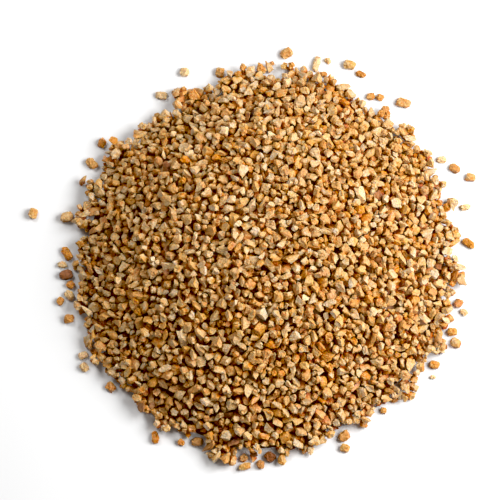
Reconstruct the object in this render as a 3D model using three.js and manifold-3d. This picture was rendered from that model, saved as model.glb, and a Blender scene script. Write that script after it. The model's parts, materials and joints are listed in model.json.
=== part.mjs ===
// A heap of chopped peanut brittle, as poured out on a flat surface, with the loose nibs that lie round it.
// Millimetres, +Z up, front towards -Y. The origin is the middle of the heap's flat underside.

import * as THREE from 'three';
import { ConvexGeometry } from 'three/addons/geometries/ConvexGeometry.js';
import { mergeVertices } from 'three/addons/utils/BufferGeometryUtils.js';
import Module from 'manifold-3d';

const wasm = await Module();
wasm.setup();

// ---------------------------------------------------------------- driving dimensions

// The heap: the mean radius of its outline, and the height of the dome that the grains lie on.
const HEAP_RADIUS = 65.4;
const DOME_HEIGHT = 25.4;

// Slow waves of the outline: how many lobes go round, how far each reaches out, and where the first points.
const OUTLINE_WAVES = [
  { lobes: 1, reach: 0.7, towards: 132 },
  { lobes: 2, reach: 1.5, towards: 67 },
  { lobes: 4, reach: 0.7, towards: -11 },
  { lobes: 6, reach: 0.8, towards: 27 },
];

// The bumps, each the size of one nib: their spacing, how far each strays from an even pattern, how far they
// stand above the dome and their valleys sink below it, and the lowest that either gets near the rim.
const BUMP_SPACING = 3.7;
const BUMP_STRAYING = 2.5;
const BUMP_LOWEST = -0.5;
const BUMP_HIGHEST = 1.7;
const VALLEY_SHALLOWEST = 0.2;
const VALLEY_DEEPEST = 1.0;
const VALLEY_FLOOR = 0.4;
const RIM_BUMP_HEIGHT = 1.9;

// The larger nibs, fused on top of the bumps: how many lie on the dome and round its rim, how large and how
// tilted they are, how far their middles stand above the dome, how near the outline they come, and how far
// the ones at the rim lie inside it.
const DOME_NIBS = 44;
const RIM_NIBS = 30;
const NIB_LENGTH = 4.6;
const NIB_WIDTH = 3.4;
const NIB_THICKNESS = 2.8;
const NIB_SIZE_SPREAD = 0.22;
const NIB_TILT = 32;
const NIB_RISE = 0.9;
const DOME_NIB_REACH = 0.96;
const RIM_NIB_LEAST_INSET = 0.6;
const RIM_NIB_MOST_INSET = 2.6;

// A nib's form: how many corners it has, how rounded (1 a ball, 0 a block), how uneven, how much of its half
// thickness is left below its middle where it rests, and its thickness as a share of its width.
const NIB_CORNERS = 16;
const NIB_ROUNDNESS = 0.62;
const NIB_UNEVENNESS = 0.16;
const NIB_REST = 0.62;
const LOOSE_NIB_FLATNESS = 0.86;

// Free space between a loose nib and the heap.
const LOOSE_GAP = 0.4;

const HEAP_SEED = 11;
const NIB_SEED = 29;
const LOOSE_SEED = 53;
const GOLDEN_ANGLE = Math.PI * (3 - Math.sqrt(5));

// Colours of the nibs: roasted sugar and peanut, pale cut faces, caramel, toasted edges and a bit of skin.
const KINDS = {
  golden: { color: '#c48d4d', roughness: 0.5 },
  pale: { color: '#e3c48f', roughness: 0.6 },
  amber: { color: '#bb6f2b', roughness: 0.35 },
  toasted: { color: '#93602e', roughness: 0.5 },
  skin: { color: '#5c2a17', roughness: 0.6 },
};
const HEAP_FINISH = { color: '#a87845', roughness: 0.5 };

// Loose nibs, clockwise from the front left: where each lies, its length and width on the surface, the way
// that its length points (degrees from +X), and its kind.
const LOOSE_NIBS = [
  { x: -37.6, y: -59.6, length: 4.2, width: 2.5, turn: -80, kind: 'amber' },
  { x: -52.4, y: -42.6, length: 3.4, width: 2.8, turn: -40, kind: 'amber' },
  { x: -61.2, y: -35.9, length: 3.2, width: 2.6, turn: -50, kind: 'pale' },
  { x: -61.7, y: -31.9, length: 3.4, width: 2.2, turn: 25, kind: 'pale' },
  { x: -66.4, y: -19.6, length: 3.3, width: 3.1, turn: 0, kind: 'toasted' },
  { x: -69.4, y: -13.4, length: 2.6, width: 2.4, turn: 60, kind: 'toasted' },
  { x: -66.3, y: -11.5, length: 3.6, width: 2.9, turn: -60, kind: 'pale' },
  { x: -66.0, y: -7.8, length: 3.0, width: 2.5, turn: -30, kind: 'amber' },
  { x: -67.6, y: -4.4, length: 4.6, width: 3.5, turn: 15, kind: 'skin' },
  { x: -68.9, y: -0.9, length: 3.0, width: 2.2, turn: 10, kind: 'pale' },
  { x: -67.2, y: 2.9, length: 4.9, width: 2.7, turn: -62, kind: 'amber' },
  { x: -67.5, y: 15.5, length: 4.5, width: 3.4, turn: 12, kind: 'golden' },
  { x: -78.7, y: 16.5, length: 3.9, width: 3.0, turn: 70, kind: 'golden' },
  { x: -59.2, y: 33.9, length: 4.7, width: 2.9, turn: -46, kind: 'golden' },
  { x: -55.7, y: 41.1, length: 3.4, width: 2.8, turn: 55, kind: 'amber' },
  { x: -36.0, y: 57.4, length: 4.0, width: 2.6, turn: -7, kind: 'pale' },
  { x: -28.3, y: 65.6, length: 3.3, width: 3.0, turn: 0, kind: 'pale' },
  { x: -16.3, y: 65.6, length: 3.4, width: 3.2, turn: 80, kind: 'golden' },
  { x: 6.0, y: 72.1, length: 4.3, width: 3.5, turn: 25, kind: 'golden' },
  { x: 16.0, y: 68.6, length: 5.6, width: 2.5, turn: 78, kind: 'pale' },
  { x: 18.4, y: 65.0, length: 2.6, width: 1.8, turn: -10, kind: 'toasted' },
  { x: 20.0, y: 69.7, length: 2.2, width: 1.9, turn: -45, kind: 'pale' },
  { x: 27.2, y: 68.3, length: 4.2, width: 3.3, turn: -5, kind: 'golden' },
  { x: 31.0, y: 64.9, length: 3.6, width: 2.1, turn: -18, kind: 'toasted' },
  { x: 34.2, y: 57.2, length: 2.8, width: 2.4, turn: 20, kind: 'golden' },
  { x: 37.4, y: 56.9, length: 2.6, width: 2.4, turn: 60, kind: 'golden' },
  { x: 45.3, y: 55.0, length: 5.0, width: 3.1, turn: -14, kind: 'golden' },
  { x: 57.8, y: 35.4, length: 3.2, width: 2.4, turn: 0, kind: 'pale' },
  { x: 62.1, y: 32.3, length: 4.0, width: 2.8, turn: -26, kind: 'toasted' },
  { x: 67.4, y: 29.2, length: 3.5, width: 2.7, turn: -5, kind: 'golden' },
  { x: 65.6, y: 18.9, length: 3.6, width: 2.1, turn: 5, kind: 'pale' },
  { x: 66.6, y: 6.4, length: 4.6, width: 2.7, turn: -35, kind: 'toasted' },
  { x: 62.9, y: -14.1, length: 3.1, width: 2.9, turn: 60, kind: 'amber' },
  { x: 64.8, y: -17.1, length: 2.7, width: 2.1, turn: -50, kind: 'pale' },
  { x: 60.9, y: -23.9, length: 3.3, width: 2.8, turn: 0, kind: 'golden' },
  { x: 61.9, y: -27.6, length: 3.7, width: 3.1, turn: -30, kind: 'golden' },
  { x: 54.9, y: -35.0, length: 3.9, width: 2.7, turn: 0, kind: 'golden' },
  { x: 54.3, y: -39.2, length: 1.8, width: 1.5, turn: -20, kind: 'pale' },
  { x: 37.9, y: -50.5, length: 2.3, width: 2.0, turn: 80, kind: 'golden' },
  { x: 24.8, y: -59.5, length: 3.9, width: 3.2, turn: 30, kind: 'toasted' },
  { x: 25.0, y: -63.3, length: 3.3, width: 2.8, turn: -15, kind: 'golden' },
  { x: 0.4, y: -66.2, length: 3.7, width: 3.4, turn: -40, kind: 'skin' },
  { x: -2.8, y: -68.8, length: 3.0, width: 2.9, turn: 70, kind: 'toasted' },
  { x: -7.9, y: -69.5, length: 4.2, width: 2.3, turn: 10, kind: 'golden' },
  { x: -8.3, y: -66.6, length: 2.8, width: 2.4, turn: 40, kind: 'golden' },
  { x: -23.7, y: -61.2, length: 4.2, width: 2.9, turn: 0, kind: 'toasted' },
  { x: -29.1, y: -61.3, length: 2.6, width: 2.3, turn: -20, kind: 'amber' },
];

// ---------------------------------------------------------------- chance and solids

// A repeatable run of numbers from 0 to 1: each is the last one times a multiplier, modulo a prime.
function seededRandom(seed) {
  const MODULUS = 2147483647;
  const MULTIPLIER = 48271;
  const WARM_UP = 8;
  let state = seed;
  const next = () => {
    state = (state * MULTIPLIER) % MODULUS;
    return state / MODULUS;
  };
  for (let turn = 0; turn < WARM_UP; turn += 1) next();
  return next;
}

function between(low, high, random) {
  return low + (high - low) * random();
}

// A closed geometry with shared corners, as a solid that can be joined.
function solidOf(geometry) {
  const bare = geometry.clone();
  bare.deleteAttribute('normal');
  bare.deleteAttribute('uv');
  const merged = mergeVertices(bare);
  return new wasm.Manifold(new wasm.Mesh({
    numProp: 3,
    vertProperties: new Float32Array(merged.getAttribute('position').array),
    triVerts: new Uint32Array(merged.getIndex().array),
  }));
}

// The main body of a joined solid, without nibs that touch nothing and hollows that the joining has shut.
function largestBody(solid) {
  return solid.decompose().reduce((largest, body) => (body.volume() > largest.volume() ? body : largest));
}

function geometryOf(solid) {
  const mesh = solid.getMesh();
  const geometry = new THREE.BufferGeometry();
  geometry.setAttribute('position', new THREE.BufferAttribute(mesh.vertProperties, 3));
  geometry.setIndex(new THREE.BufferAttribute(mesh.triVerts, 1));
  geometry.computeVertexNormals();
  return geometry;
}

function finishOf({ color, roughness }) {
  return new THREE.MeshStandardMaterial({ color, roughness, metalness: 0, flatShading: true });
}

// ---------------------------------------------------------------- the dome

function outlineRadius(angle) {
  let radius = HEAP_RADIUS;
  for (const { lobes, reach, towards } of OUTLINE_WAVES) {
    radius += reach * Math.cos(lobes * (angle - THREE.MathUtils.degToRad(towards)));
  }
  return radius;
}

// How far out a point lies, from 0 at the middle to 1 on the outline.
function outwardShare(x, y) {
  return Math.hypot(x, y) / outlineRadius(Math.atan2(y, x));
}

function domeHeight(x, y) {
  return DOME_HEIGHT * Math.max(0, 1 - outwardShare(x, y) ** 2);
}

// The distance from a point to the nearest loose nib's edge, taking each nib as round.
function clearOfLooseNibs(x, y) {
  const distances = LOOSE_NIBS.map((nib) => Math.hypot(x - nib.x, y - nib.y) - nib.length / 2);
  return Math.min(...distances);
}

// ---------------------------------------------------------------- bumps

// The six neighbours of a bump in the triangular pattern, counter-clockwise.
const NEIGHBOURS = [[1, 0], [0, 1], [-1, 1], [-1, 0], [0, -1], [1, -1]];

const cellKey = (column, row) => `${column},${row}`;

// Every place of the pattern: where its bump stands, how high, and whether the heap reaches it.
function layBumps(random) {
  const cells = new Map();
  const reach = Math.ceil(2 * HEAP_RADIUS / BUMP_SPACING);
  const rowStep = BUMP_SPACING * Math.sin(Math.PI / 3);
  const cellRadius = BUMP_SPACING / Math.sqrt(3) + BUMP_STRAYING / 4;
  const furthest = 1 - cellRadius / 2 / HEAP_RADIUS;
  for (let row = -reach; row <= reach; row += 1) {
    for (let column = -reach; column <= reach; column += 1) {
      const x = (column + row / 2) * BUMP_SPACING + BUMP_STRAYING * (random() - 0.5);
      const y = row * rowStep + BUMP_STRAYING * (random() - 0.5);
      const rise = between(BUMP_LOWEST, BUMP_HIGHEST, random);
      const kept = outwardShare(x, y) < furthest && clearOfLooseNibs(x, y) > cellRadius + LOOSE_GAP;
      const height = Math.max(domeHeight(x, y) + rise, RIM_BUMP_HEIGHT);
      cells.set(cellKey(column, row), { column, row, x, y, height, kept });
    }
  }
  return cells;
}

// The corner that a bump shares with two neighbours: a valley inside the heap, on the surface at its rim.
function addCorner(corners, cells, cell, side, positions, random) {
  const ring = [0, 1].map((step) => NEIGHBOURS[(side + step) % NEIGHBOURS.length]);
  const others = ring.map(([across, up]) => cells.get(cellKey(cell.column + across, cell.row + up)));
  const trio = [cell, ...others];
  const key = trio.map(({ column, row }) => cellKey(column, row)).sort().join(' ');
  if (!corners.has(key)) {
    const x = trio.reduce((sum, each) => sum + each.x, 0) / trio.length;
    const y = trio.reduce((sum, each) => sum + each.y, 0) / trio.length;
    const valley = domeHeight(x, y) - between(VALLEY_SHALLOWEST, VALLEY_DEEPEST, random);
    const inside = trio.every(({ kept }) => kept);
    corners.set(key, positions.length / 3);
    positions.push(x, y, inside ? Math.max(valley, VALLEY_FLOOR) : 0);
  }
  return corners.get(key);
}

// The dome's relief: six faces run from each bump's top down to its valleys, and one flat face lies below.
function bumpyDome() {
  const random = seededRandom(HEAP_SEED);
  const cells = layBumps(random);
  const positions = [];
  const faces = [];
  const corners = new Map();
  const rimEdges = new Map();
  for (const cell of cells.values()) {
    if (!cell.kept) continue;
    const ring = NEIGHBOURS.map((_, side) => addCorner(corners, cells, cell, side, positions, random));
    const top = positions.length / 3;
    positions.push(cell.x, cell.y, cell.height);
    ring.forEach((corner, side) => {
      const next = (side + 1) % ring.length;
      const [across, up] = NEIGHBOURS[next];
      faces.push(top, corner, ring[next]);
      const neighbour = cells.get(cellKey(cell.column + across, cell.row + up));
      if (!neighbour.kept) rimEdges.set(corner, ring[next]);
    });
  }
  faces.push(...undersideFaces(positions, rimEdges));
  const geometry = new THREE.BufferGeometry();
  geometry.setAttribute('position', new THREE.Float32BufferAttribute(positions, 3));
  geometry.setIndex(faces);
  return geometry;
}

// The flat underside inside the rim, facing down. Its corners are followed round from edge to edge.
function undersideFaces(positions, rimEdges) {
  const start = rimEdges.keys().next().value;
  const loop = [start];
  for (let corner = rimEdges.get(start); corner !== start; corner = rimEdges.get(corner)) loop.push(corner);
  const outline = loop.map((corner) => new THREE.Vector2(positions[3 * corner], positions[3 * corner + 1]));
  return THREE.ShapeUtils.triangulateShape(outline, []).flatMap(([a, b, c]) => [loop[c], loop[b], loop[a]]);
}

// ---------------------------------------------------------------- nibs

function blocky(part) {
  return Math.sign(part) * Math.abs(part) ** NIB_ROUNDNESS;
}

// The corners of one nib round its own middle: points spread over a rounded block, pushed in and out.
function nibCorners(length, width, thickness, random) {
  const corners = [];
  for (let step = 0; step < NIB_CORNERS; step += 1) {
    const up = 1 - 2 * (step + 0.5) / NIB_CORNERS;
    const out = Math.sqrt(1 - up * up);
    const around = step * GOLDEN_ANGLE;
    const push = 1 + NIB_UNEVENNESS * (2 * random() - 1);
    corners.push(new THREE.Vector3(
      blocky(out * Math.cos(around)) * push,
      blocky(out * Math.sin(around)) * push,
      blocky(up) * push,
    ));
  }
  const box = new THREE.Box3().setFromPoints(corners);
  const middle = box.getCenter(new THREE.Vector3());
  const scale = new THREE.Vector3(length, width, thickness).divide(box.getSize(new THREE.Vector3()));
  return corners.map((corner) => corner.sub(middle).multiply(scale));
}

// A loose nib rests on a flat facet at z = 0.
function looseNibGeometry({ length, width }, random) {
  const thickness = width * LOOSE_NIB_FLATNESS;
  const rest = -NIB_REST * thickness / 2;
  const corners = nibCorners(length, width, thickness, random);
  const rested = corners.map(({ x, y, z }) => new THREE.Vector3(x, y, Math.max(z, rest) - rest));
  return new ConvexGeometry(rested);
}

// A larger nib of the heap, turned any way round, with its middle at the given place.
function fusedNib(place, random) {
  const size = 1 + NIB_SIZE_SPREAD * (2 * random() - 1);
  const geometry = new ConvexGeometry(
    nibCorners(NIB_LENGTH * size, NIB_WIDTH * size, NIB_THICKNESS * size, random),
  );
  const tilt = THREE.MathUtils.degToRad(NIB_TILT);
  geometry.rotateX(between(-tilt, tilt, random));
  geometry.rotateY(between(-tilt, tilt, random));
  geometry.rotateZ(between(0, 2 * Math.PI, random));
  const lowest = new THREE.Box3().setFromBufferAttribute(geometry.getAttribute('position')).min.z;
  geometry.translate(place.x, place.y, Math.max(place.z, -lowest));
  return solidOf(geometry);
}

// Places on the dome, spread evenly by a spiral of equal areas.
function domeNibPlaces() {
  return Array.from({ length: DOME_NIBS }, (_, step) => {
    const angle = step * GOLDEN_ANGLE;
    const radius = DOME_NIB_REACH * outlineRadius(angle) * Math.sqrt((step + 0.5) / DOME_NIBS);
    const x = radius * Math.cos(angle);
    const y = radius * Math.sin(angle);
    return new THREE.Vector3(x, y, domeHeight(x, y) + NIB_RISE);
  });
}

// Places round the rim, at even steps, on the surface that the heap lies on.
function rimNibPlaces(random) {
  return Array.from({ length: RIM_NIBS }, (_, step) => {
    const angle = 2 * Math.PI * (step + random() / 2) / RIM_NIBS;
    const radius = outlineRadius(angle) - between(RIM_NIB_LEAST_INSET, RIM_NIB_MOST_INSET, random);
    return new THREE.Vector3(radius * Math.cos(angle), radius * Math.sin(angle), 0);
  });
}

// ---------------------------------------------------------------- sub-parts

function heap() {
  const random = seededRandom(NIB_SEED);
  const reach = NIB_LENGTH * (1 + NIB_SIZE_SPREAD) / 2 + LOOSE_GAP;
  const spread = [...domeNibPlaces(), ...rimNibPlaces(random)];
  const places = spread.filter(({ x, y }) => clearOfLooseNibs(x, y) > reach);
  const solid = places.reduce((joined, place) => joined.add(fusedNib(place, random)), solidOf(bumpyDome()));
  const mesh = new THREE.Mesh(geometryOf(largestBody(solid)), finishOf(HEAP_FINISH));
  mesh.name = 'heap';
  return mesh;
}

function looseNib(nib, number, random) {
  const mesh = new THREE.Mesh(looseNibGeometry(nib, random), finishOf(KINDS[nib.kind]));
  mesh.name = `loose_nib_${String(number).padStart(2, '0')}`;
  mesh.position.set(nib.x, nib.y, 0);
  mesh.rotation.z = THREE.MathUtils.degToRad(nib.turn);
  return mesh;
}

function looseNibs() {
  const random = seededRandom(LOOSE_SEED);
  return LOOSE_NIBS.map((nib, index) => looseNib(nib, index + 1, random));
}

const peanutBrittle = new THREE.Group();
peanutBrittle.add(heap(), ...looseNibs());

export default peanutBrittle;
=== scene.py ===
"""A poured heap of chopped peanut brittle: thousands of separate nibs laid over a dark core, and the loose
nibs that lie round it. Metres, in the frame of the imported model: +Z up, front towards -Y."""

import json
import math
import random
from dataclasses import dataclass

import bmesh
import bpy
import numpy as np
from mathutils import Euler, Matrix, Vector, noise


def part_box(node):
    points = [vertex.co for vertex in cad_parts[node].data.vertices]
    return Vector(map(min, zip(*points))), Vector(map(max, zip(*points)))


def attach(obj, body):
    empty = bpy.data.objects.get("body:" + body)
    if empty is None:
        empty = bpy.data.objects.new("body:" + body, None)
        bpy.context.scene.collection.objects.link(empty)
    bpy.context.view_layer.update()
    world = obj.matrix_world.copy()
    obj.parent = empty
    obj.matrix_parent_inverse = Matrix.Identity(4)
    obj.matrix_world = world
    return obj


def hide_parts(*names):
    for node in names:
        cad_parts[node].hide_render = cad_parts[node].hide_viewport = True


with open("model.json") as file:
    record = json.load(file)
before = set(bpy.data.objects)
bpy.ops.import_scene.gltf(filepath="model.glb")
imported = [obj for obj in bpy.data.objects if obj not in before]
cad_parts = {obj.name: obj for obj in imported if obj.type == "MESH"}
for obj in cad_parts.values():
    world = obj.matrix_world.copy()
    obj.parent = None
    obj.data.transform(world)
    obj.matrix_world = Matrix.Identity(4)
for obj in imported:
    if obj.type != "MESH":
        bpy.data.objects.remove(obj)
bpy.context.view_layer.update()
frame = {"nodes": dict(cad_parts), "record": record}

MM = 0.001
FULL_TURN = 2 * math.pi
GOLDEN_ANGLE = math.pi * (3 - math.sqrt(5))
WHITE = "#ffffff"

# ---------------------------------------------------------------- driving dimensions

# The heap, as in the solid: the mean radius of its outline, the dome's height, and the outline's slow waves
# (how many lobes go round, how far each reaches, and the angle in degrees that the first points to).
HEAP_RADIUS = 65.4 * MM
DOME_HEIGHT = 25.4 * MM
OUTLINE_WAVES = ((1, 1.1 * MM, 205), (2, 1.5 * MM, 67), (4, 0.7 * MM, -11), (6, 0.8 * MM, 27))

# The core lies this far below the top of the filling, which is about two layers of nibs. Its relief is as
# coarse as the nibs. It reaches out to this share of the heap's radius and ends in a low upright edge.
NIB_COVER = 3.6 * MM
CORE_RELIEF = 1.2 * MM
CORE_RELIEF_SIZE = 3.4 * MM
CORE_RIM = 0.925
CORE_EDGE = 0.4 * MM
CORE_RINGS = 44
CORE_SPOKES = 120

# Nibs fill the heap up to about this height over the dome, with slow rises and hollows, and at the rim up to
# this height over the surface.
TOP_OVER_DOME = -0.8 * MM
TOP_UNEVEN = 0.9 * MM
TOP_UNEVEN_SIZE = 9 * MM
RIM_LAYER = 3.1 * MM

# The filling ends at this share of the outline's radius, more or less by the raggedness of the rim.
RIM_SHARE = 0.992
RIM_RAGGED = 0.055
RIM_RAGGED_SIZE = 5.5 * MM

# The nibs of the top layer fall on chance places, so many in all. Those stay whose middles come to rest no
# higher than this over the dome, or at the rim over the surface.
TOP_TRIES = 5000
TOP_MIDDLE = 1.5 * MM
RIM_MIDDLE = 2.6 * MM


@dataclass
class Cut:
    """One way that nibs come from the chopper: their size, how many faces break off and how far from the
    middle, how lumpy the crust between them is, and how rough the broken faces are. All but the size are
    measured on a lump one unit wide."""
    length: float
    width: float
    thickness: float
    breaks: int
    depth: tuple
    lumps: float
    roughness: float


CUTS = {
    "chunk": Cut(3.0 * MM, 2.6 * MM, 2.2 * MM, 7, (0.24, 0.40), 0.42, 0.14),
    "wedge": Cut(3.5 * MM, 2.6 * MM, 2.1 * MM, 6, (0.18, 0.36), 0.38, 0.13),
    "crumb": Cut(2.9 * MM, 2.5 * MM, 2.1 * MM, 5, (0.26, 0.46), 0.75, 0.17),
    "chip": Cut(3.5 * MM, 2.8 * MM, 1.5 * MM, 6, (0.20, 0.36), 0.38, 0.12),
    "shard": Cut(4.3 * MM, 2.1 * MM, 1.7 * MM, 6, (0.20, 0.36), 0.38, 0.13),
    "flake": Cut(3.4 * MM, 2.7 * MM, 0.8 * MM, 5, (0.22, 0.40), 0.40, 0.08),
}
SHAPES_PER_CUT = 12


@dataclass
class Kind:
    """A kind of nib in the heap: the cuts it comes in, how many different nibs of it are made, how common it
    is, in parts of about a hundred, and its finish."""
    cuts: tuple
    variety: int
    share: float
    finish: str


KINDS = {
    "golden_chunks": Kind(("chunk", "wedge"), 72, 37, "golden"),
    "golden_crumbs": Kind(("crumb",), 48, 20, "golden"),
    "golden_slivers": Kind(("chip", "shard"), 48, 20, "golden"),
    "sandy_nibs": Kind(("chunk", "wedge", "crumb"), 48, 12, "sandy"),
    "pale_nut_chips": Kind(("chip", "shard", "chunk", "wedge"), 36, 3, "pale"),
    "amber_shards": Kind(("chip", "shard", "chunk", "wedge"), 36, 3.5, "amber"),
    "toasted_nibs": Kind(("crumb", "chip", "shard"), 36, 4.5, "toasted"),
    "skin_flakes": Kind(("flake",), 12, 0.7, "skin"),
}

# The finishes that the loose nibs have.
LOOSE_FINISHES = ("golden", "pale", "amber", "toasted", "skin")

# A nib's size against that of its cut: the least, the greatest and how widely it is spread. Each direction is
# also stretched by itself, and the nib leans by about this angle in radians.
LEAST_SIZE = 0.5
GREATEST_SIZE = 1.5
SIZE_SPREAD = 0.25
STRETCH = (0.9, 1.1)
LEAN = 0.6

# The seeds of chance: one for the shapes and places of the heap's nibs, one for the tones of the loose nibs.
HEAP_SEED = 7
LOOSE_SEED = 19

# ---------------------------------------------------------------- the heap's form

# Slow noise has so many knots across a feature. The gain brings its usual peaks to about 1.
KNOTS_ACROSS = 6
NOISE_GAIN = 1.6


def outline_radius(angle):
    """The heap's radius towards an angle in radians."""
    waves = (reach * np.cos(lobes * (angle - math.radians(first))) for lobes, reach, first in OUTLINE_WAVES)
    return HEAP_RADIUS + sum(waves)


def outward_share(x, y):
    """How far out a point lies, from 0 at the middle to 1 on the outline."""
    return np.hypot(x, y) / outline_radius(np.arctan2(y, x))


def dome_height(share):
    """The height of the dome at a share of the way out."""
    return DOME_HEIGHT * np.clip(1 - share ** 2, 0, None)


def slow_noise(side, size):
    """Uneven values from about -1 to 1 over a square grid of cells, with features of about this size."""
    coarse = max(1, int(size / (KNOTS_ACROSS * CELL)))
    rows = range(0, side + coarse, coarse)
    knots = [[noise.noise(Vector((row * CELL / size, column * CELL / size, size))) for column in rows]
             for row in rows]
    knots = np.array(knots) * NOISE_GAIN
    place = np.arange(side) / coarse
    base = place.astype(int)
    part = place - base
    across = knots[:, base] * (1 - part) + knots[:, base + 1] * part
    return across[base] * (1 - part)[:, None] + across[base + 1] * part[:, None]


# ---------------------------------------------------------------- shapes of nibs

# On a shape one unit wide, corners this near are one.
TOUCHING = 0.0001

# A nib starts as a lumpy ball one unit wide, somewhere in a wide field of noise. Then come the fineness of
# its lumps and of the roughness of its faces, how far the directions of its breaks are shaken by chance, and
# how fresh its broken faces are.
BALL_RADIUS = 0.5
NOISE_FIELD = 100
LUMP_FINENESS = 3.2
ROUGH_FINENESS = 5.0
BREAK_SHAKE = 0.25
FRESHNESS = (0.2, 1.0)

# How far apart the three fields of noise lie that move a corner along X, Y and Z.
FIELDS_APART = (0, 37, 71)

# Corners nearer than this are merged and thinner splinters dropped. Then longer edges and wider faces are
# divided.
MERGED_GAP = 0.07
SPLINTER = 0.02
LONG_EDGE = 0.30
WIDE_FACE = 0.075

# Each half of a nib is unrolled up to this angle from its pole, to a disc of this radius in its half of the
# map.
UNROLLED_ANGLE = 2 * math.pi / 3
MAP_DISC = 0.46

# The loose nibs, at real size: what is merged or flattened, how much of an edge is worn off, what is divided,
# how lumpy the faces are, and how large the lumps and the freshly broken places are.
LOOSE_MERGED_GAP = 0.01 * MM
LOOSE_FLAT_ANGLE = math.radians(9)
LOOSE_WEAR = 0.13 * MM
LOOSE_LONG_EDGE = 0.55 * MM
LOOSE_WIDE_FACE = (0.7 * MM) ** 2
LOOSE_LUMPS = 0.42 * MM
LOOSE_LUMP_SIZE = 0.6 * MM
LOOSE_FRESH_SIZE = 1.0 * MM

# Faces are stored in their order along this direction, so that every run gives the same mesh.
FACE_ORDER = Vector((1.0, math.sqrt(2), math.sqrt(3)))


@dataclass
class Shape:
    """A nib's mesh as arrays: its corners, the corner of each loop, the loop that each face starts with, how
    freshly broken each face is, its own map, and its triangles."""
    corners: np.ndarray
    loops: np.ndarray
    starts: np.ndarray
    cut_face: np.ndarray
    uv: np.ndarray
    triangles: np.ndarray


def mesh_from(bm, name):
    """The mesh of a shape that is done."""
    bm.faces.sort(key=lambda face: face.calc_center_median().dot(FACE_ORDER))
    mesh = bpy.data.meshes.new(name)
    bm.to_mesh(mesh)
    bm.free()
    return mesh


def break_off(bm, towards, depth, layer, freshness):
    """Breaks the lump off flat on one side and closes the break with one face."""
    geometry = [*bm.verts, *bm.edges, *bm.faces]
    cut = bmesh.ops.bisect_plane(bm, geom=geometry, dist=TOUCHING, plane_co=towards * depth, plane_no=towards,
                                 clear_outer=True)
    rim = [part for part in cut["geom_cut"] if isinstance(part, bmesh.types.BMEdge)]
    for face in bmesh.ops.holes_fill(bm, edges=rim, sides=0)["faces"]:
        face[layer] = freshness


def divide(bm, long_edge, wide_face):
    """Gives every long edge and every wide face a corner in its middle, which noise can then move."""
    edges = [edge for edge in bm.edges if edge.calc_length() > long_edge]
    bmesh.ops.subdivide_edges(bm, edges=edges, cuts=1)
    bmesh.ops.poke(bm, faces=[face for face in bm.faces if face.calc_area() > wide_face])


def spread_directions(count, draw):
    """Directions all round a ball, evenly spread and then turned and shaken by chance."""
    turn = Euler([draw.uniform(0, FULL_TURN) for _ in range(3)]).to_matrix()
    for number in range(count):
        height = 1 - (2 * number + 1) / count
        around = number * GOLDEN_ANGLE
        level = math.sqrt(1 - height * height)
        even = Vector((level * math.cos(around), level * math.sin(around), height))
        shake = Vector([draw.gauss(0, BREAK_SHAKE) for _ in range(3)])
        yield turn @ (even + shake).normalized()


def wobble(place):
    """A slow change from place to place, as a vector: three fields of noise that lie far apart."""
    return Vector([noise.noise(place + Vector((far, 0, 0))) for far in FIELDS_APART])


def nib_mesh(cut, draw):
    """A lumpy ball broken flat on most sides, roughened, and stretched to the size of its cut."""
    bm = bmesh.new()
    bmesh.ops.create_icosphere(bm, subdivisions=2, radius=BALL_RADIUS)
    layer = bm.faces.layers.float.new("cut_face")
    place = Vector([draw.uniform(0, NOISE_FIELD) for _ in range(3)])
    for vert in bm.verts:
        vert.co *= 1 + cut.lumps * noise.noise(vert.co * LUMP_FINENESS + place)
    for towards in spread_directions(cut.breaks, draw):
        break_off(bm, towards, draw.uniform(*cut.depth), layer, draw.uniform(*FRESHNESS))
    bmesh.ops.remove_doubles(bm, verts=bm.verts, dist=MERGED_GAP)
    bmesh.ops.dissolve_degenerate(bm, dist=SPLINTER, edges=bm.edges)
    divide(bm, LONG_EDGE, WIDE_FACE)
    for vert in bm.verts:
        vert.co += cut.roughness * wobble(vert.co * ROUGH_FINENESS + place)
    low = Vector(map(min, zip(*(vert.co for vert in bm.verts))))
    high = Vector(map(max, zip(*(vert.co for vert in bm.verts))))
    size = high - low
    bmesh.ops.translate(bm, vec=-(low + high) / 2, verts=bm.verts)
    bmesh.ops.scale(bm, vec=(cut.length / size.x, cut.width / size.y, cut.thickness / size.z), verts=bm.verts)
    bmesh.ops.recalc_face_normals(bm, faces=bm.faces)
    return mesh_from(bm, "nib")


def array_of(collection, key, kind, width=1):
    """One property of every item of a mesh collection, as an array."""
    values = np.empty(len(collection) * width, kind)
    collection.foreach_get(key, values)
    return values.reshape(-1, width) if width > 1 else values


def own_map(corners, loops, starts):
    """The nib's map: its upper and its lower faces side by side, each seen from its pole and spread out."""
    ends = np.append(starts[1:], len(loops))
    directions = corners / np.linalg.norm(corners / np.ptp(corners, axis=0), axis=1, keepdims=True)
    directions = directions / np.ptp(corners, axis=0)
    uv = np.empty((len(loops), 2))
    for start, end in zip(starts, ends):
        own = directions[loops[start:end]]
        side = -1.0 if own[:, 2].mean() < 0 else 1.0
        polar = np.arccos(np.clip(own[:, 2] * side, -1, 1)) / UNROLLED_ANGLE
        around = np.arctan2(own[:, 1], own[:, 0])
        reach = np.minimum(polar, 1) * MAP_DISC
        uv[start:end, 0] = (0.5 + reach * np.cos(around) + (side < 0)) / 2
        uv[start:end, 1] = 0.5 + reach * np.sin(around)
    return uv


def shape_of(mesh):
    """A mesh as arrays that can be copied many times."""
    mesh.calc_loop_triangles()
    corners = array_of(mesh.vertices, "co", float, 3)
    loops = array_of(mesh.loops, "vertex_index", int)
    starts = array_of(mesh.polygons, "loop_start", int)
    cut_face = array_of(mesh.attributes["cut_face"].data, "value", float)
    triangles = array_of(mesh.loop_triangles, "vertices", int, 3)
    return Shape(corners, loops, starts, cut_face, own_map(corners, loops, starts), triangles)


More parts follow.
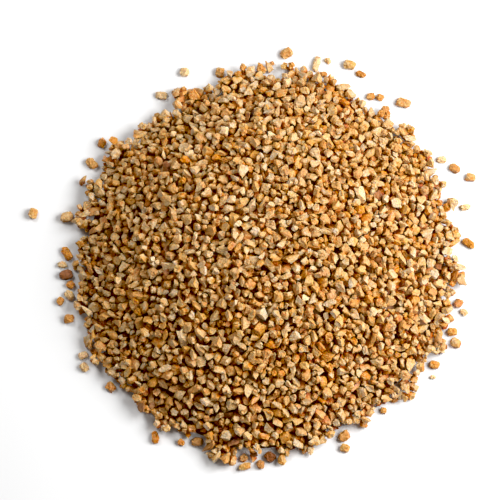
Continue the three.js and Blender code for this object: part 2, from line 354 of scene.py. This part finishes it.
def loose_shape(mesh, middle):
    """The shape of a loose nib round its middle: its solid with the edges worn off and the faces lumpy."""
    bm = bmesh.new()
    bm.from_mesh(mesh)
    bmesh.ops.remove_doubles(bm, verts=bm.verts, dist=LOOSE_MERGED_GAP)
    bmesh.ops.dissolve_limit(bm, angle_limit=LOOSE_FLAT_ANGLE, verts=bm.verts, edges=bm.edges)
    bmesh.ops.translate(bm, vec=-middle, verts=bm.verts)
    layer = bm.faces.layers.float.new("cut_face")
    for face in bm.faces:
        face[layer] = (1 + noise.noise(face.calc_center_median() / LOOSE_FRESH_SIZE)) / 2
    bmesh.ops.bevel(bm, geom=bm.edges, offset=LOOSE_WEAR, offset_type="OFFSET", segments=1, profile=0.5,
                    affect="EDGES", material=-1, clamp_overlap=True)
    divide(bm, LOOSE_LONG_EDGE, LOOSE_WIDE_FACE)
    for vert in bm.verts:
        vert.co += LOOSE_LUMPS * wobble((vert.co + middle) / LOOSE_LUMP_SIZE)
        vert.co.z = max(vert.co.z, -middle.z)
    bmesh.ops.recalc_face_normals(bm, faces=bm.faces)
    return shape_of(mesh_from(bm, "loose_nib"))


# ---------------------------------------------------------------- laying the nibs

# The nibs are laid on a grid of square cells that reaches past the farthest loose nib. The places of the
# loose nibs are walled off up to a height that no nib reaches.
CELL = 0.25 * MM
FIELD_REACH = HEAP_RADIUS + 22 * MM
WALL = 1.0

# A nib is tried in so many poses, each up to so many cells from the cell that needs it most, and settles a
# little into those below. What a cell needs is a mean over the cells up to so many away.
POSES = 3
SHIFTS = 2
SETTLE = 0.05 * MM
SPOT_CELLS = 4

# The filling is done where no more than this is missing, or after so many nibs. A nib isn't laid where its
# middle would rest higher than this over the filling's top.
FULL_ENOUGH = 1.0 * MM
MOST_NIBS = 6000
HIGHEST_REST = 1.7 * MM

# A corner is in a gap when it lies below the mean height of the nibs up to so many cells away. The gap starts
# this far above that mean and is deepest this far below its start. A loose nib's corner is deepest on the
# floor, and out of the gap this far above it. The deeper a corner lies, the more painted shade its colour
# gets.
GAP_CELLS = 6
GAP_TOP = 0.5 * MM
GAP_DEPTH = 2.2 * MM
LOOSE_GAP_DEPTH = 1.0 * MM

# The area in square metres that a triangle is given where it is seen edge on.
EDGE_ON = 1e-12


@dataclass
class Posed:
    """A nib turned as it may lie, with the height of its underside and top over each cell."""
    matrix: np.ndarray
    under: np.ndarray
    over: np.ndarray


@dataclass
class Nib:
    """A nib that can be laid, in the few ways that it may lie."""
    shape: Shape
    poses: list


@dataclass
class Rest:
    """A posed nib where it comes to rest: its cell, the height of its middle, and the window it covers."""
    pose: Posed
    row: int
    column: int
    height: float
    window: tuple


@dataclass
class Laid:
    """A nib at its own place, with its tone."""
    shape: Shape
    matrix: np.ndarray
    place: np.ndarray
    tone: float


def silhouette(corners, triangles):
    """The lowest and the highest surface of a nib over each cell of a small square round its middle."""
    reach = int(np.abs(corners[:, :2]).max() / CELL) + 1
    steps = np.arange(-reach, reach + 1) * CELL
    px, py = (part.ravel() for part in np.meshgrid(steps, steps))
    a, b, c = (corners[triangles[:, k]] for k in range(3))
    to_b = (b - a)[:, :, None]
    to_c = (c - a)[:, :, None]
    across = px - a[:, :1]
    along = py - a[:, 1:2]
    area = to_b[:, 0] * to_c[:, 1] - to_b[:, 1] * to_c[:, 0]
    area = np.where(np.abs(area) < EDGE_ON, EDGE_ON, area)
    share_b = (across * to_c[:, 1] - along * to_c[:, 0]) / area
    share_c = (along * to_b[:, 0] - across * to_b[:, 1]) / area
    height = a[:, 2:] + share_b * to_b[:, 2] + share_c * to_c[:, 2]
    inside = (share_b >= 0) & (share_c >= 0) & (share_b + share_c <= 1)
    side = len(steps)
    under = np.where(inside, height, np.inf).min(0).reshape(side, side)
    over = np.where(inside, height, -np.inf).max(0).reshape(side, side)
    return under, over


def posed(shape, draw, size):
    """A nib at its own size, turned any way round and leaning as nibs in a heap do."""
    stretch = [size * draw.uniform(*STRETCH) for _ in range(3)]
    turn = Euler((draw.gauss(0, LEAN), draw.gauss(0, LEAN), draw.uniform(0, FULL_TURN))).to_matrix()
    matrix = np.array(turn @ Matrix.Diagonal(stretch))
    under, over = silhouette(shape.corners @ matrix.T, shape.triangles)
    return Posed(matrix, under, over)


def nib_choice(shapes, count, draw):
    """Nibs to lay: every shape in turn, at sizes drawn round the usual one, each in a few poses."""
    nibs = []
    for number in range(count):
        shape = shapes[number % len(shapes)]
        size = min(max(math.exp(draw.gauss(0, SIZE_SPREAD)), LEAST_SIZE), GREATEST_SIZE)
        nibs.append(Nib(shape, [posed(shape, draw, size) for _ in range(POSES)]))
    return nibs


def square(row, column, reach):
    """The window of a grid up to so many cells away from one cell."""
    return slice(row - reach, row + reach + 1), slice(column - reach, column + reach + 1)


def sums_round(values, reach):
    """For each cell with enough cells on every side, the sum of the values up to so many cells away."""
    total = np.pad(values.cumsum(0).cumsum(1), ((1, 0), (1, 0)))
    width = 2 * reach + 1
    return (total[width:, width:] - total[:-width, width:] - total[width:, :-width]
            + total[:-width, :-width])


class Field:
    """Heights over a square grid of cells: what is laid so far, and what the heap should come up to."""

    def __init__(self, loose_boxes):
        self.reach = int(FIELD_REACH / CELL)
        steps = np.arange(-self.reach, self.reach + 1) * CELL
        share = outward_share(*np.meshgrid(steps, steps))
        dome = dome_height(share)
        inside = share < RIM_SHARE + RIM_RAGGED * slow_noise(len(steps), RIM_RAGGED_SIZE)
        top = dome + TOP_OVER_DOME + TOP_UNEVEN * slow_noise(len(steps), TOP_UNEVEN_SIZE)
        self.target = np.where(inside, np.maximum(top, RIM_LAYER), 0)
        self.highest = np.where(inside, np.maximum(top + TOP_MIDDLE - TOP_OVER_DOME, RIM_MIDDLE), 0)
        self.laid = np.clip(dome + TOP_OVER_DOME - NIB_COVER, 0, None)
        for low, high in loose_boxes:
            middle = (low + high) / 2
            self.wall_off(middle.x, middle.y, (high - low).xy.length / 2)
        self.need = np.zeros_like(self.target)
        self.measure(0, 0, *self.need.shape)

    def wall_off(self, x, y, radius):
        """Keeps a round place on the surface free."""
        row, column = (int(round(part / CELL)) + self.reach for part in (y, x))
        reach = int(math.ceil(radius / CELL))
        steps = np.arange(-reach, reach + 1)
        disc = np.hypot(*np.meshgrid(steps, steps)) <= reach
        window = square(row, column, reach)
        self.laid[window] = np.where(disc, WALL, self.laid[window])

    def measure(self, top, left, bottom, right):
        """Works out again how much is missing round each cell of a window."""
        reach = SPOT_CELLS
        side = len(self.need)
        top, left = max(top, reach), max(left, reach)
        bottom, right = min(bottom, side - reach), min(right, side - reach)
        window = (slice(top - reach, bottom + reach), slice(left - reach, right + reach))
        missing = np.where(self.laid[window] < WALL, self.target[window] - self.laid[window], 0)
        self.need[top:bottom, left:right] = sums_round(missing, reach) / (2 * reach + 1) ** 2

    def drop(self, pose, row, column):
        """Where a posed nib comes to rest when it falls on a cell."""
        window = square(row, column, len(pose.under) // 2)
        height = (self.laid[window] - pose.under).max() - SETTLE
        return Rest(pose, row, column, height, window)

    def put(self, nib, rest, tone):
        """Leaves a nib where it has come to rest."""
        self.laid[rest.window] = np.maximum(self.laid[rest.window], rest.pose.over + rest.height)
        rows, columns = rest.window
        margin = SPOT_CELLS
        self.measure(rows.start - margin, columns.start - margin, rows.stop + margin, columns.stop + margin)
        place = np.array([(rest.column - self.reach) * CELL, (rest.row - self.reach) * CELL, rest.height])
        return Laid(nib.shape, rest.pose.matrix, place, tone)

    def gap_depth(self, corners):
        """How deep each corner lies in the gaps between nibs, from 0 on top to 1 far below the surface, which
        sets its painted shade.
        """
        free = self.laid < WALL
        height = sums_round(np.where(free, self.laid, 0), GAP_CELLS)
        count = sums_round(free.astype(float), GAP_CELLS)
        mean = np.pad(height / np.maximum(count, 1), GAP_CELLS)
        columns, rows = (np.rint(corners[:, :2] / CELL).astype(int) + self.reach).T
        return np.clip((mean[rows, columns] + GAP_TOP - corners[:, 2]) / GAP_DEPTH, 0, 1)


def loose_gap_depth(corners):
    """How deep each corner of a loose nib lies, from 1 on the surface to 0 well above it, which sets the
    painted shade near the floor.
    """
    return np.clip(1 - corners[:, 2] / LOOSE_GAP_DEPTH, 0, 1)


def drawn_nib(choices, draw):
    """A kind drawn by how common it is, and a nib of that kind."""
    kind = draw.choices(list(KINDS), [kind.share for kind in KINDS.values()])[0]
    return kind, draw.choice(choices[kind])


def fill(field, choices, laid, draw):
    """Lays nibs one by one where most is missing, each in the pose and place where it rests lowest."""
    for _ in range(MOST_NIBS):
        row, column = divmod(int(field.need.argmax()), field.need.shape[1])
        if field.need[row, column] < FULL_ENOUGH:
            break
        kind, nib = drawn_nib(choices, draw)
        rests = [field.drop(pose, row + draw.randint(-SHIFTS, SHIFTS), column + draw.randint(-SHIFTS, SHIFTS))
                 for pose in nib.poses]
        lowest = min(rests, key=lambda rest: rest.height)
        if lowest.height > field.target[row, column] + HIGHEST_REST:
            field.need[row, column] = 0
        else:
            laid[kind].append(field.put(nib, lowest, draw.random()))


def scatter(field, choices, laid, draw):
    """Lets nibs fall on chance places of the heap and keeps those that come to rest low enough."""
    rows, columns = np.nonzero(field.highest)
    for _ in range(TOP_TRIES):
        spot = draw.randrange(len(rows))
        row, column = int(rows[spot]), int(columns[spot])
        kind, nib = drawn_nib(choices, draw)
        rest = field.drop(draw.choice(nib.poses), row, column)
        if rest.height <= field.highest[row, column]:
            laid[kind].append(field.put(nib, rest, draw.random()))


# ---------------------------------------------------------------- joined meshes

# Faces that meet at more than this angle have a sharp edge between them.
SHARP_ANGLE = math.radians(27)


def joined_nibs(name, nibs, finish, gap_depth, nodes=("heap",)):
    """One piece of many nibs. Each nib keeps its tone and has a cell of the map to itself, each face knows
    how freshly it is broken, and each corner how deep it lies in the gaps, for its painted shade."""
    columns = math.ceil(math.sqrt(len(nibs) / 2))
    rows = math.ceil(len(nibs) / columns)
    corners, loops, starts, cut_face, tone, uv = [], [], [], [], [], []
    corner_count = 0
    loop_count = 0
    for number, nib in enumerate(nibs):
        shape = nib.shape
        corners.append(shape.corners @ nib.matrix.T + nib.place)
        loops.append(shape.loops + corner_count)
        starts.append(shape.starts + loop_count)
        cut_face.append(shape.cut_face)
        tone.append(np.full(len(shape.starts), nib.tone))
        uv.append((shape.uv + (number % columns, number // columns)) / (columns, rows))
        corner_count += len(shape.corners)
        loop_count += len(shape.loops)
    corners, loops, starts = (np.concatenate(parts) for parts in (corners, loops, starts))
    mesh = bpy.data.meshes.new(name)
    mesh.vertices.add(corner_count)
    mesh.vertices.foreach_set("co", corners.ravel())
    mesh.loops.add(loop_count)
    mesh.loops.foreach_set("vertex_index", loops)
    mesh.polygons.add(len(starts))
    mesh.polygons.foreach_set("loop_start", starts)
    mesh.update(calc_edges=True)
    mesh.set_sharp_from_angle(angle=SHARP_ANGLE)
    mesh.attributes.new("gap", "FLOAT", "POINT").data.foreach_set("value", gap_depth(corners))
    for key, values in (("cut_face", cut_face), ("tone", tone)):
        mesh.attributes.new(key, "FLOAT", "FACE").data.foreach_set("value", np.concatenate(values))
    mesh.uv_layers.new(name="OFBake").data.foreach_set("uv", np.concatenate(uv).ravel())
    mesh.validate()
    piece(name, mesh, finish, nodes)


def piece(name, mesh, finish, nodes=("heap",)):
    """A finished piece that stands for CAD nodes and rides on the whole."""
    made = bpy.data.objects.new(name, mesh)
    bpy.context.collection.objects.link(made)
    mesh.materials.append(finish)
    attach(made, "root")
    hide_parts(*nodes)


# ---------------------------------------------------------------- finishes

# How far along its shades a place is, from 0 for the first to 1 for the last: where all start, and how much
# the nib's tone, a fresh break, a patch, the depth in a gap as painted shade, and a crease, or a worn edge
# that is paler from wear and a painted highlight, add at most.
SHADE_START = 0.28
SHADE_BY_TONE = 0.13
SHADE_BY_BREAK = 0.15
SHADE_BY_PATCH = 0.5
PAINTED_GAP_SHADE = -0.6
SHADE_BY_CREASE = -0.05
EDGE_WEAR_AND_HIGHLIGHT = 0.17

# How pointed the surface is where it is flat or creased, and where an edge is palest, from wear and a painted
# highlight.
FLAT_POINT = 0.5
WORN_AND_HIGHLIT_POINT = 0.62

# A nib's colour is also a little duller or stronger. This swings so often over the tones that it seems
# independent of them.
SWING = 0.111
DULL = 0.96
STRONG = 1.08

# Patches of crust and nut. The grain of crushed nut is finer in truth, and is drawn as coarse as it needs to
# be to show. Noise mostly lies between these two values. The grain darkens or lightens the colour.
PATCH_SIZE = 1.5 * MM
GRAIN_SIZE = 0.7 * MM
GRAIN_DEPTH = 0.7 * MM
NOISE_LOW = 0.3
NOISE_HIGH = 0.7
GRAIN_DARK = 0.76
GRAIN_LIGHT = 1.1
UNEVEN_GLOSS = 0.14

# Light goes this deep into boiled sugar and nut: red the deepest, so that thin edges look warm.
SUGAR_DEPTH = 1.3 * MM
SUGAR_TINT = (1.0, 0.6, 0.3)

# The crumbs that show dimly in the deep gaps.
CORE_CRUMB_SIZE = 2.4 * MM
CORE_CRUMB_DEPTH = 0.8 * MM

# Where a mixing node has its two colours and its mixed one.
MIX_A, MIX_B, MIX_RESULT = 6, 7, 2


def linear(hex_colour):
    """An sRGB colour such as "#c48d4d" as the linear colour that a shader takes."""
    parts = [int(hex_colour[k:k + 2], 16) / 255 for k in (1, 3, 5)]
    return (*[p / 12.92 if p <= 0.04045 else ((p + 0.055) / 1.055) ** 2.4 for p in parts], 1.0)


def blank_material(name):
    """A new material and its empty tree."""
    material = bpy.data.materials.new(name)
    material.use_nodes = True
    material.node_tree.nodes.clear()
    return material, material.node_tree


def add(tree, kind, inputs=None, **settings):
    """A new node with its settings. Each input takes a value or the output socket that feeds it."""
    made = tree.nodes.new(kind)
    for key, value in settings.items():
        setattr(made, key, value)
    for socket, value in (inputs or {}).items():
        if isinstance(value, bpy.types.NodeSocket):
            tree.links.new(value, made.inputs[socket])
        else:
            made.inputs[socket].default_value = value
    return made


def per_metre(size):
    """The scale of a pattern on metre coordinates whose features are about this size."""
    return 1 / size


def nib_finish(name, shades, shift=0.0, roughness=0.5, coat=0.02, subsurface=0.6):
    """Chopped brittle. Its shades run from caramel that has browned, through golden crust, to the pale nut
    inside. Each nib has its tone, each has patches, and fresh breaks are paler. Worn edges are paler from
    wear and a painted highlight. Deep in the gaps everything is browner with painted shade. The fine grain is
    crushed nut in sugar."""
    material, tree = blank_material(name)
    where = add(tree, "ShaderNodeTexCoord").outputs["Object"]
    tone, cut_face, gap = (add(tree, "ShaderNodeAttribute", attribute_name=key).outputs["Fac"]
                           for key in ("tone", "cut_face", "gap"))
    patch = add(tree, "ShaderNodeTexNoise", {"Vector": where, "Scale": per_metre(PATCH_SIZE), "Detail": 4.0,
                                             "Roughness": 0.6}).outputs["Fac"]
    grain = add(tree, "ShaderNodeTexNoise", {"Vector": where, "Scale": per_metre(GRAIN_SIZE),
                                             "Detail": 3.0}).outputs["Fac"]
    pointed = add(tree, "ShaderNodeNewGeometry").outputs["Pointiness"]
    # Pointed edges are paler: partly wear, partly a painted highlight.
    edge_wear_and_highlight = add(tree, "ShaderNodeMapRange", {"Value": pointed, "From Min": FLAT_POINT,
                                               "From Max": WORN_AND_HIGHLIT_POINT, "To Min": SHADE_BY_CREASE,
                                               "To Max": EDGE_WEAR_AND_HIGHLIGHT})
    along = add(tree, "ShaderNodeMath", {0: edge_wear_and_highlight.outputs["Result"], 1: shift + SHADE_START},
                operation="ADD")
    # The depth in a gap browns the colour as painted shade.
    for part, most in ((tone, SHADE_BY_TONE), (cut_face, SHADE_BY_BREAK), (patch, SHADE_BY_PATCH),
                       (gap, PAINTED_GAP_SHADE)):
        along = add(tree, "ShaderNodeMath", {0: part, 1: most, 2: along.outputs[0]}, operation="MULTIPLY_ADD")
    shade = add(tree, "ShaderNodeValToRGB", {"Fac": along.outputs[0]})
    stops = shade.color_ramp.elements
    stops[1].position = 1 / (len(shades) - 1)
    for number, colour in enumerate(shades):
        stop = stops[number] if number < 2 else stops.new(number / (len(shades) - 1))
        stop.color = linear(colour)
    swing = add(tree, "ShaderNodeMath", {0: tone, 1: SWING}, operation="PINGPONG")
    strength = add(tree, "ShaderNodeMapRange", {"Value": swing.outputs[0], "From Min": 0.0, "From Max": SWING,
                                                "To Min": DULL, "To Max": STRONG})
    tinted = add(tree, "ShaderNodeHueSaturation", {"Color": shade.outputs["Color"],
                                                   "Saturation": strength.outputs["Result"]})
    grainy = add(tree, "ShaderNodeMapRange", {"Value": grain, "From Min": NOISE_LOW, "From Max": NOISE_HIGH,
                                              "To Min": GRAIN_DARK, "To Max": GRAIN_LIGHT})
    shown = add(tree, "ShaderNodeVectorMath", {0: tinted.outputs["Color"], 1: grainy.outputs["Result"]},
                operation="MULTIPLY")
    gloss = add(tree, "ShaderNodeMapRange", {"Value": patch, "From Min": NOISE_LOW, "From Max": NOISE_HIGH,
                                             "To Min": roughness - UNEVEN_GLOSS,
                                             "To Max": roughness + UNEVEN_GLOSS})
    bump = add(tree, "ShaderNodeBump", {"Height": grain, "Strength": 0.8, "Distance": GRAIN_DEPTH})
    shader = add(tree, "ShaderNodeBsdfPrincipled", {
        "Base Color": shown.outputs[0],
        "Roughness": gloss.outputs["Result"],
        "Normal": bump.outputs["Normal"],
        "IOR": 1.5,
        "Specular IOR Level": 0.45,
        "Subsurface Weight": subsurface,
        "Subsurface Radius": SUGAR_TINT,
        "Subsurface Scale": SUGAR_DEPTH,
        "Coat Weight": coat,
        "Coat Roughness": 0.22,
    })
    add(tree, "ShaderNodeOutputMaterial", {"Surface": shader.outputs[0]})
    return material


def golden_brittle():
    """Roasted peanut set in boiled sugar and chopped: the golden bulk of the heap, satin."""
    return nib_finish("golden chopped brittle", ("#682303", "#a5490b", "#bf7829", "#c19a61", "#c3b199"))


def sandy_brittle():
    """Nibs with more nut than sugar: duller, sandy, with a matt surface."""
    return nib_finish("sandy nut brittle", ("#602506", "#9b4a0f", "#b57633", "#ba9461", "#bfab8d"),
                      roughness=0.58)


def pale_peanut():
    """Cut roasted peanut with little sugar on it: cream, satin."""
    return nib_finish("cut roasted peanut", ("#a0672d", "#c29156", "#cea978", "#d6ba91"), shift=0.1)


def amber_caramel():
    """Nearly clear caramel: orange amber, glossy, light passes through its edges."""
    return nib_finish("amber caramel", ("#6a2d05", "#9f5511", "#bc7a2a", "#cb9650"), roughness=0.38,
                      coat=0.22, subsurface=0.9)


def toasted_crust():
    """The browned crust of the sheet: brown with golden places, satin."""
    return nib_finish("toasted brittle crust", ("#5c2d0c", "#94571b", "#b57c38", "#c69c60"))


def peanut_skin():
    """A rag of the nut's red-brown skin, dark after roasting, satin, and too thin to glow."""
    return nib_finish("roasted peanut skin", ("#2a0e07", "#4c2010", "#8a5228", "#bb9055"), shift=-0.06,
                      subsurface=0.05)


def shaded_core():
    """What shows between the top nibs: more brittle in deep shade, so dark brown and matt."""
    material, tree = blank_material("brittle in deep shade")
    where = add(tree, "ShaderNodeTexCoord").outputs["Object"]
    crumbs = add(tree, "ShaderNodeTexNoise", {"Vector": where, "Scale": per_metre(CORE_CRUMB_SIZE),
                                              "Detail": 3.0}).outputs["Fac"]
    colour = add(tree, "ShaderNodeMix", {0: crumbs, MIX_A: linear("#4a260c"), MIX_B: linear("#805226")},
                 data_type="RGBA")
    bump = add(tree, "ShaderNodeBump", {"Height": crumbs, "Strength": 0.6, "Distance": CORE_CRUMB_DEPTH})
    shader = add(tree, "ShaderNodeBsdfPrincipled", {
        "Base Color": colour.outputs[MIX_RESULT],
        "Roughness": 0.7,
        "Normal": bump.outputs["Normal"],
        "IOR": 1.5,
    })
    add(tree, "ShaderNodeOutputMaterial", {"Surface": shader.outputs[0]})
    return material


# ---------------------------------------------------------------- pieces


def heap_core():
    """The dome under the nibs: a profile spun round, pulled to the heap's outline and made bumpy."""
    bm = bmesh.new()
    profile = [Vector((0, 0, 0)), Vector((1, 0, 0))]
    profile += [Vector((1 - step / CORE_RINGS, 0, 1)) for step in range(1, CORE_RINGS)]
    profile.append(Vector((0, 0, 1)))
    verts = [bm.verts.new(point) for point in profile]
    edges = [bm.edges.new(pair) for pair in zip(verts, verts[1:])]
    bmesh.ops.spin(bm, geom=verts + edges, cent=(0, 0, 0), axis=(0, 0, 1), angle=FULL_TURN,
                   steps=CORE_SPOKES, use_merge=True)
    bmesh.ops.remove_doubles(bm, verts=bm.verts, dist=TOUCHING)
    for vert in bm.verts:
        share = math.hypot(vert.co.x, vert.co.y) * CORE_RIM
        angle = math.atan2(vert.co.y, vert.co.x)
        radius = share * outline_radius(angle)
        place = Vector((radius * math.cos(angle), radius * math.sin(angle), 0))
        if vert.co.z > 0:
            relief = CORE_RELIEF * noise.noise(place / CORE_RELIEF_SIZE)
            place.z = max(dome_height(share) + TOP_OVER_DOME - NIB_COVER + relief, CORE_EDGE)
        vert.co = place
    bmesh.ops.recalc_face_normals(bm, faces=bm.faces)
    for face in bm.faces:
        face.smooth = True
    piece("heap_core", mesh_from(bm, "heap_core"), shaded_core())


def add_heap_nibs(loose_boxes, finishes):
    """One piece for each kind of nib in the heap. The nibs first fill it and then lie on top by chance."""
    draw = random.Random(HEAP_SEED)
    shapes = {name: [shape_of(nib_mesh(cut, draw)) for _ in range(SHAPES_PER_CUT)]
              for name, cut in CUTS.items()}
    choices = {}
    for name, kind in KINDS.items():
        own = [shape for cut in kind.cuts for shape in shapes[cut]]
        choices[name] = nib_choice(own, kind.variety, draw)
    field = Field(loose_boxes)
    laid = {name: [] for name in KINDS}
    fill(field, choices, laid, draw)
    scatter(field, choices, laid, draw)
    for name, nibs in laid.items():
        joined_nibs(name, nibs, finishes[KINDS[name].finish], field.gap_depth)


def add_loose_nibs(finishes):
    """The nibs that lie apart, one piece for each finish."""
    slots = {part["node"]: part["material_slot"] for part in frame["record"]["subparts"]}
    draw = random.Random(LOOSE_SEED)
    for finish in LOOSE_FINISHES:
        slot = f"{finish}_nib"
        names = [name for name in frame["nodes"] if slots[name] == slot]
        nibs = []
        for name in names:
            low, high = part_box(name)
            middle = (low + high) / 2
            shape = loose_shape(frame["nodes"][name].data, middle)
            nibs.append(Laid(shape, np.eye(3), np.array(middle), draw.random()))
        joined_nibs(f"loose_{slot}s", nibs, finishes[finish], loose_gap_depth, names)


# ---------------------------------------------------------------- floor, light and camera

# Half the floor's width, and how far it lies below the nibs' undersides, so that the two stay apart.
FLOOR_REACH = 1.5
FLOOR_BELOW = 0.05 * MM

# Where the photo has the middle of the heap, and the view it has of it: from nearly above and far away.
PHOTO_PIXELS = 500
PIXELS_PER_MM = 3
HEAP_MIDDLE_ACROSS_PIXEL = 268.8
HEAP_MIDDLE_DOWN_PIXEL = 262.5
VIEW_ELEVATION = math.radians(76)
LENS = 400
SENSOR = 36
NEAREST = 0.01

# What the view takes off red, green and blue in the darkest shades, as the photo's own contrast does.
BLACK_LEVEL = (0.0, 0.007, 0.013)


def add_floor():
    """A plain pale sheet under the heap, which the light makes white."""
    bm = bmesh.new()
    bmesh.ops.create_grid(bm, x_segments=1, y_segments=1, size=FLOOR_REACH)
    bmesh.ops.translate(bm, vec=(0, 0, -FLOOR_BELOW), verts=bm.verts)
    floor = bpy.data.objects.new("floor", mesh_from(bm, "floor"))
    bpy.context.collection.objects.link(floor)
    material, tree = blank_material("white paper sheet")
    shader = add(tree, "ShaderNodeBsdfPrincipled", {"Base Color": linear("#d5d5d5"), "Roughness": 0.9})
    add(tree, "ShaderNodeOutputMaterial", {"Surface": shader.outputs[0]})
    floor.data.materials.append(material)


def add_light(name, place, aim, size, power):
    """A round soft lamp that points at a place."""
    lamp = bpy.data.lights.new(name, "AREA")
    lamp.shape = "DISK"
    lamp.size = size
    lamp.energy = power
    lamp.color = linear(WHITE)[:3]
    made = bpy.data.objects.new(name, lamp)
    made.location = place
    made.rotation_euler = (Vector(aim) - Vector(place)).to_track_quat("-Z", "Y").to_euler()
    bpy.context.collection.objects.link(made)


def add_lights():
    """A large soft key low on the right, a weaker fill from behind on the left, and a pale surround."""
    add_light("key", place=(0.335, 0.035, 0.310), aim=(0, 0, 0.01), size=0.37, power=4.98)
    add_light("fill", place=(-0.32, 0.30, 0.52), aim=(0, 0, 0), size=0.25, power=2.15)
    world = bpy.data.worlds.new("studio")
    world.use_nodes = True
    surround = world.node_tree.nodes["Background"]
    surround.inputs["Color"].default_value = linear(WHITE)
    surround.inputs["Strength"].default_value = 0.175
    bpy.context.scene.world = world


def set_view():
    """Shows the colours plainly, with a little taken off the darkest shades."""
    view = bpy.context.scene.view_settings
    view.view_transform = "Standard"
    view.use_curve_mapping = True
    view.curve_mapping.black_level = BLACK_LEVEL


def add_camera():
    """Looks down at the photo's angle, with the heap's middle where the photo has it."""
    frame_width = PHOTO_PIXELS / PIXELS_PER_MM * MM
    distance = frame_width * LENS / SENSOR
    across = (PHOTO_PIXELS / 2 - HEAP_MIDDLE_ACROSS_PIXEL) / PIXELS_PER_MM * MM
    back = (HEAP_MIDDLE_DOWN_PIXEL - PHOTO_PIXELS / 2) / PIXELS_PER_MM * MM / math.sin(VIEW_ELEVATION)
    aim = Vector((across, back, 0))
    towards = Vector((0, -math.cos(VIEW_ELEVATION), math.sin(VIEW_ELEVATION)))
    camera = bpy.data.cameras.new("camera")
    camera.lens = LENS
    camera.sensor_width = SENSOR
    camera.clip_start = NEAREST
    made = bpy.data.objects.new("camera", camera)
    made.location = aim + towards * distance
    made.rotation_euler = (-towards).to_track_quat("-Z", "Y").to_euler()
    bpy.context.collection.objects.link(made)
    bpy.context.scene.camera = made


finishes = {
    "golden": golden_brittle(),
    "sandy": sandy_brittle(),
    "pale": pale_peanut(),
    "amber": amber_caramel(),
    "toasted": toasted_crust(),
    "skin": peanut_skin(),
}
heap_core()
add_heap_nibs([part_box(name) for name in frame["nodes"] if name != "heap"], finishes)
add_loose_nibs(finishes)
add_floor()
add_lights()
set_view()
add_camera()
